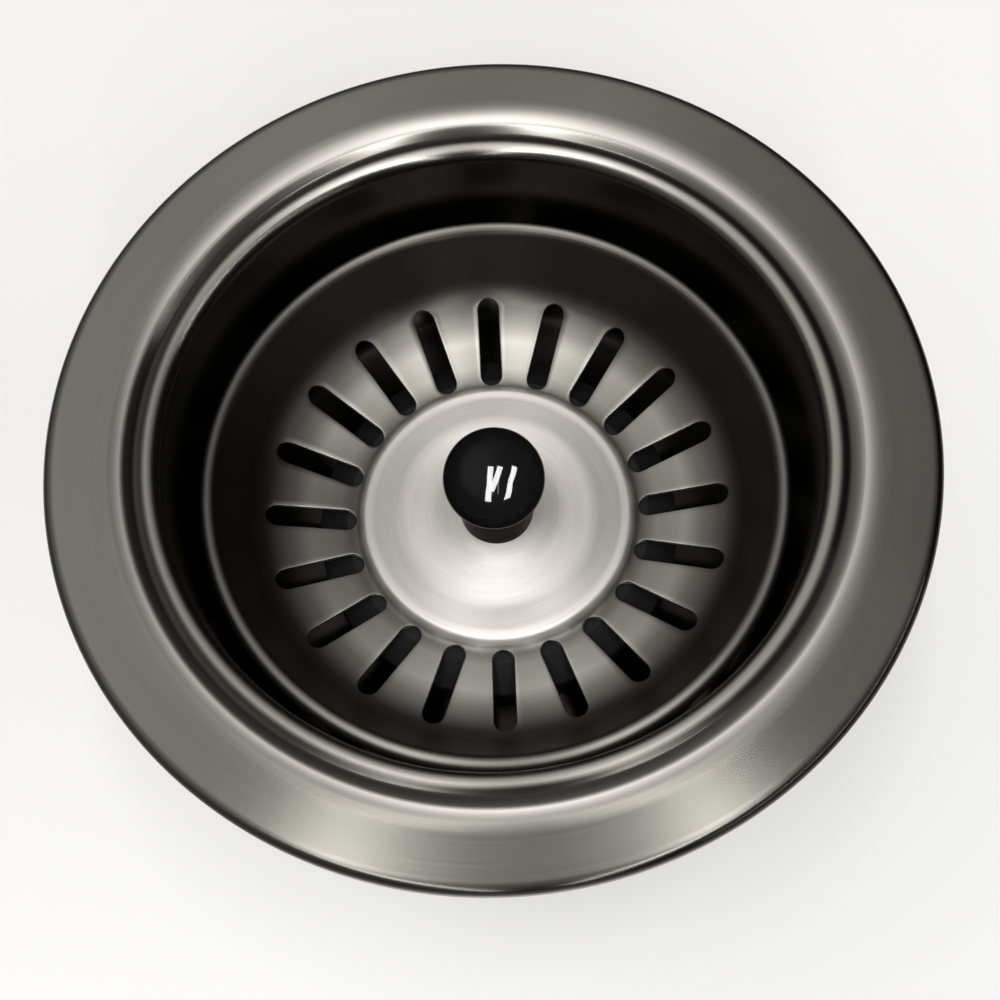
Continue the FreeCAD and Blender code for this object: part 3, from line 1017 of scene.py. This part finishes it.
def make_locknut():
    """Cast locknut with lugs below its flange."""
    foot, top, flange = low("locknut"), high("locknut"), reach("locknut")
    outline = rounded([
        (locknut_bore, foot),
        (locknut_wall, foot),
        (locknut_wall, locknut_shoulder),
        (flange, locknut_shoulder),
        (flange, top),
        (locknut_bore, top),
    ], [locknut_round] * 6)
    wall_end = np.flatnonzero(np.abs(outline[:, 0] - locknut_wall) < on_wall)[-1]
    lug_side = outline[:wall_end + 1]
    thread_side = np.concatenate([outline[wall_end:], outline[:1]])
    outline = np.concatenate([
        divided(lug_side, fine_wall=locknut_wall),
        divided(thread_side, fine_wall=locknut_bore)[1:-1],
    ])
    thread = thread_relief(locknut_bore, cup_pitch, -locknut_thread_depth, locknut_thread_foot,
                           locknut_thread_top)

    def lugs(turn, radius, height):
        step = 2 * math.pi / lug_count
        across = locknut_wall * np.abs((turn + step / 2) % step - step / 2)
        flank = np.clip((lug_half - across) / lug_flank, 0, 1)
        end = np.clip((height - lug_foot) / lug_flank, 0, 1)
        return np.where(np.abs(radius - locknut_wall) < on_wall, flank * end * lug_rise, 0)

    def relief(*spot):
        return thread(*spot) + lugs(*spot)

    piece = lathe("cast_locknut", "locknut", outline, nut_segments, relief)
    finished(piece, "locknut", cast_zinc)


def make_coupling_nut():
    """Slip nut with half-round ribs and a lip that holds the washer."""
    foot, top, lip = low("coupling_nut"), high("coupling_nut"), bore("coupling_nut")
    seat = low("tailpiece_washer")
    outline = rounded([
        (lip, foot),
        (coupling_wall, foot),
        (coupling_wall, top),
        (coupling_bore, top),
        (coupling_bore, seat),
        (lip, seat),
    ], [coupling_round / 2, coupling_round, coupling_round, 0, 0, 0])
    outline = divided(outline, closed=True, fine_wall=coupling_bore)
    thread = thread_relief(coupling_bore, sleeve_pitch, -coupling_thread_depth, coupling_thread_foot,
                           coupling_thread_top)
    rib_centre = coupling_wall - coupling_round

    def ribs(turn, radius, height):
        step = 2 * math.pi / rib_count
        lean = (turn + step / 2) % step - step / 2
        across = rib_centre * np.sin(lean)
        round_top = rib_centre * np.cos(lean) + np.sqrt(np.maximum(0, rib_radius ** 2 - across ** 2))
        ends = np.minimum(height - rib_ends[0], rib_ends[1] - height)
        rise = np.maximum(0, round_top - coupling_wall) * np.clip(ends / rib_flank, 0, 1)
        return np.where(np.abs(radius - coupling_wall) < on_wall, rise, 0)

    def relief(*spot):
        return thread(*spot) + ribs(*spot)

    piece = lathe("slip_nut", "coupling_nut", outline, nut_segments, relief)
    finished(piece, "coupling_nut", nut_plastic)


make_body()
make_flange_gasket()
make_sleeve()
make_crosspiece()
make_ring("outlet_washer", "outlet_seal", "drain", red_board, fibre_round)
make_bush()
make_basket()
make_ball()
make_insert()
make_ring("collar", "neck_collar", "basket", collar_black, collar_round)
make_post()
make_ring("stopper_backing", "backing_washer", "basket", turned_steel, backing_round)
make_stopper()
make_ring("small_washer", "stopper_washer", "basket", turned_steel, small_washer_round)
make_stopper_nut()
make_ring("deck_gasket", "sink_gasket", "clamp_rings", seal_rubber, sink_gasket_round)
make_ring("slip_ring", "friction_ring", "clamp_rings", brown_board, fibre_round)
make_locknut()
make_ring("pipe_washer", "tailpiece_washer", "tail_washer", white_wax, pipe_washer_round)
make_coupling_nut()

# Floor, light and camera

floor_mesh = bpy.data.meshes.new("floor")
floor_corners = [(-1, -1), (1, -1), (1, 1), (-1, 1)]
floor_points = [(x * floor_half, y * floor_half, cad_box[0].z) for x, y in floor_corners]
floor_mesh.from_pydata(floor_points, [], [(0, 1, 2, 3)])
floor = bpy.data.objects.new("floor", floor_mesh)
bpy.context.scene.collection.objects.link(floor)
paper = Finish("floor_white", Roughness=0.85)
paper.colours(paper.noise(scale=3.0), (0.93, 0.928, 0.925, 1), (0.945, 0.943, 0.94, 1))
floor_mesh.materials.append(paper.material)


def make_lamp(name, place, width, length, radiance):
    """A flat soft light that shines down its own Z axis, unseen by the camera."""
    lamp = bpy.data.lights.new(name, "AREA")
    lamp.shape = "RECTANGLE"
    lamp.size, lamp.size_y = width, length
    lamp.energy = math.pi * width * length * radiance
    made = bpy.data.objects.new(name, lamp)
    made.matrix_world = place
    made.visible_camera = False
    bpy.context.scene.collection.objects.link(made)
    return made


ball_middle = Vector((0, 0, high("ball_knob") - reach("ball_knob")))


def seen_from_ball(around, above):
    """The point at the streaks' distance from the ball, in a direction given in degrees."""
    turn, rise = math.radians(around), math.radians(above)
    level = streak_distance * math.cos(rise)
    offset = (level * math.cos(turn), level * math.sin(turn), streak_distance * math.sin(rise))
    return ball_middle + Vector(offset)


for side_name, across in tube_places.items():
    tube_middle = Matrix.Translation((across, tube_end - tube_length / 2, tube_height))
    make_lamp("tube_" + side_name, tube_middle, tube_width, tube_length, tube_radiance)

# The streaks light the ball alone and nothing stands in their way
ball_only = bpy.data.collections.new("ball_only")
ball_only.objects.link(bpy.data.objects["ball"])
for side_name, run in streak_runs.items():
    turns = [seen_from_ball(*end) for end in run]
    for i, (first, last) in enumerate(zip(turns, turns[1:])):
        offset = (first + last) / 2 - ball_middle
        along = (last - first).normalized()
        place = Matrix((along.cross(offset).normalized(), along, offset.normalized())).transposed().to_4x4()
        place.translation = ball_middle + offset
        width, length = offset.length * streak_spread, (last - first).length
        streak = make_lamp("streak_%s_%d" % (side_name, i), place, width, length, streak_radiance)
        streak.visible_diffuse = False
        streak.light_linking.receiver_collection = ball_only
        streak.light_linking.blocker_collection = ball_only

# The sky grows brighter with height, and towards the left and the far side
world = bpy.data.worlds.new("studio")
bpy.context.scene.world = world
world.use_nodes = True
sky = Nodes(world.node_tree)
direction = sky.node("TexCoord", {}).outputs["Generated"]
aside, away, aloft = sky.node("SeparateXYZ", {0: direction}).outputs
sideways = sky.math("MULTIPLY", aside, sky_side_gain)
slant = sky.math("ADD", sideways, sky.math("MULTIPLY", away, sky_far_gain))
plain = sky.spread(aloft, *sky_rise, sky_low, sky_zenith)
level = sky.math("MULTIPLY", plain, sky.math("ADD", slant, 1.0))
background = world.node_tree.nodes["Background"]
sky.join(background.inputs["Color"], sky_colour)
sky.join(background.inputs["Strength"], sky.math("MAXIMUM", level, sky_least))

# The camera faces the drain's axis from the front, and then pans, tilts and rolls
sine, cosine = math.sin(view_elevation), math.cos(view_elevation)
stand = Matrix(((1, 0, 0), (0, sine, cosine), (0, -cosine, sine)))
lean = Matrix.Rotation(view_tilt, 3, "X") @ Matrix.Rotation(view_pan, 3, "Y")
camera = bpy.data.objects.new("camera", bpy.data.cameras.new("camera"))
bpy.context.scene.collection.objects.link(camera)
camera.data.sensor_width = sensor_width
camera.data.lens = focal_pixels / frame_pixels * sensor_width
camera.data.clip_start = clip_start
camera.matrix_world = (Matrix.Rotation(view_roll, 3, "Z") @ lean @ stand).transposed().to_4x4()
camera.location = stand.row[2] * view_distance
camera.location.z += view_height
bpy.context.scene.camera = camera
bpy.context.scene.view_settings.view_transform = "Standard"
